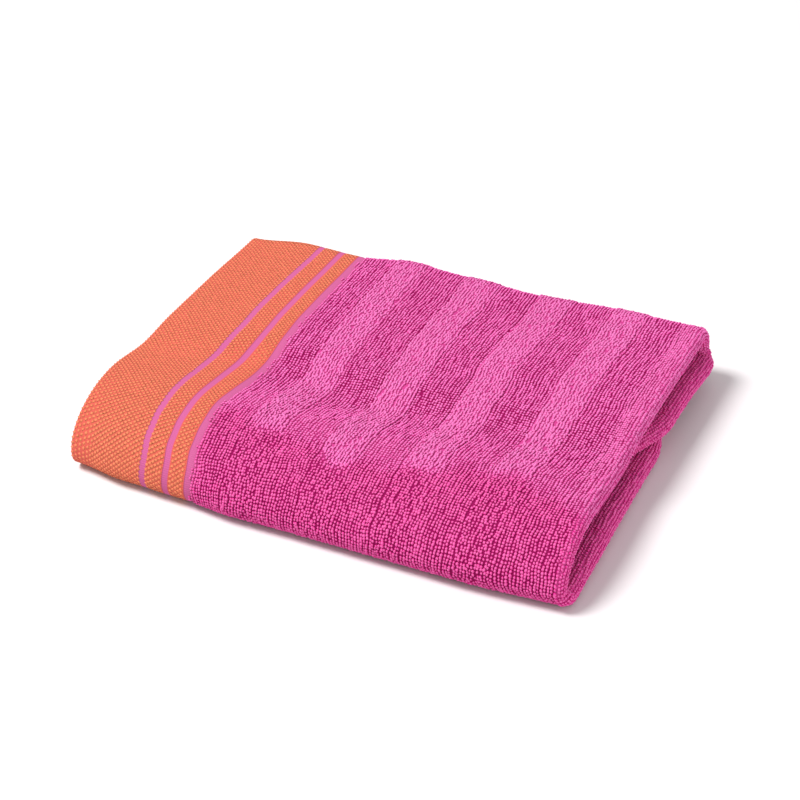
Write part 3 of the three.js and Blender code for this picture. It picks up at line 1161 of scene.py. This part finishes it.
def soft_light(name, power, place, width):
    """A round soft light that faces the middle of the floor."""
    light = bpy.data.lights.new(name, "AREA")
    light.energy = power
    light.shape = "DISK"
    light.size = width
    lamp = new_object(name, light)
    lamp.location = place
    lamp.rotation_euler = lamp.location.to_track_quat("Z", "Y").to_euler()


class TOWEL_OT_stage(Operator):
    """Put the towel on a plain pale floor in soft studio light, with its camera"""

    bl_idname = "towel.stage"
    bl_label = "Studio Stage"

    def execute(self, context):
        settings = context.scene.towel_stage
        scene = context.scene
        half = settings.floor_width / 2
        level = CAD_BOX[0][2] - FLOOR_GAP
        corners = [(x * half, y * half, level) for x, y in ((-1, -1), (1, -1), (1, 1), (-1, 1))]
        mesh = bpy.data.meshes.new("floor")
        mesh.from_pydata(corners, [], [(0, 1, 2, 3)])
        material, tree = new_material("floor")
        pale = tuple(0.97 * channel for channel in settings.floor_colour)
        colour = mix_colours(tree, noise(tree, 3.0), colour4(pale), colour4(settings.floor_colour))
        shade(tree, {"Base Color": colour, "Roughness": 0.9})
        mesh.materials.append(material)
        new_object("floor", mesh)

        world = bpy.data.worlds.new("studio")
        world.use_nodes = True
        background = world.node_tree.nodes["Background"]
        background.inputs["Color"].default_value = (1.0, 1.0, 1.0, 1.0)
        background.inputs["Strength"].default_value = settings.sky
        scene.world = world
        scene.view_settings.view_transform = "Standard"

        soft_light("key", settings.key, settings.key_place, settings.key_width)
        soft_light("fill", settings.fill, settings.fill_place, settings.fill_width)

        camera = bpy.data.cameras.new("camera")
        camera.lens = settings.lens
        camera.sensor_width = 36.0
        viewer = new_object("camera", camera)
        viewer.location = settings.camera_place
        viewer.rotation_euler = (math.pi / 2 - settings.camera_pitch, 0.0, settings.camera_turn)
        scene.camera = viewer
        return {"FINISHED"}


class TOWEL_PT_panel(Panel):
    """The towel's pieces and their sizes"""

    bl_idname = "TOWEL_PT_panel"
    bl_label = "Folded Bath Towel"
    bl_space_type = "VIEW_3D"
    bl_region_type = "UI"
    bl_category = "Towel"

    def draw(self, context):
        layout = self.layout
        for operator, group in PANEL_ROWS:
            layout.operator(operator)
            if group is not None:
                settings = getattr(context.scene, group)
                for key in settings.bl_rna.properties.keys():
                    if key not in ("rna_type", "name"):
                        layout.prop(settings, key)


PANEL_ROWS = (
    ("towel.pile", "towel_pile"),
    ("towel.border", "towel_border"),
    ("towel.cloth", None),
    ("towel.stage", "towel_stage"),
)
GROUPS = {
    "towel_pile": TowelPileSettings,
    "towel_border": TowelBorderSettings,
    "towel_stage": TowelStageSettings,
}
CLASSES = (
    *GROUPS.values(), TOWEL_OT_pile, TOWEL_OT_border, TOWEL_OT_cloth, TOWEL_OT_stage, TOWEL_PT_panel,
)


def register():
    for cls in CLASSES:
        bpy.utils.register_class(cls)
    for name, group in GROUPS.items():
        setattr(bpy.types.Scene, name, PointerProperty(type=group))


def unregister():
    for name in GROUPS:
        delattr(bpy.types.Scene, name)
    for cls in reversed(CLASSES):
        bpy.utils.unregister_class(cls)


def main():
    register()
    bpy.ops.towel.pile()
    bpy.ops.towel.border()
    bpy.ops.towel.cloth()
    bpy.ops.towel.stage()


if __name__ == "__main__":
    main()
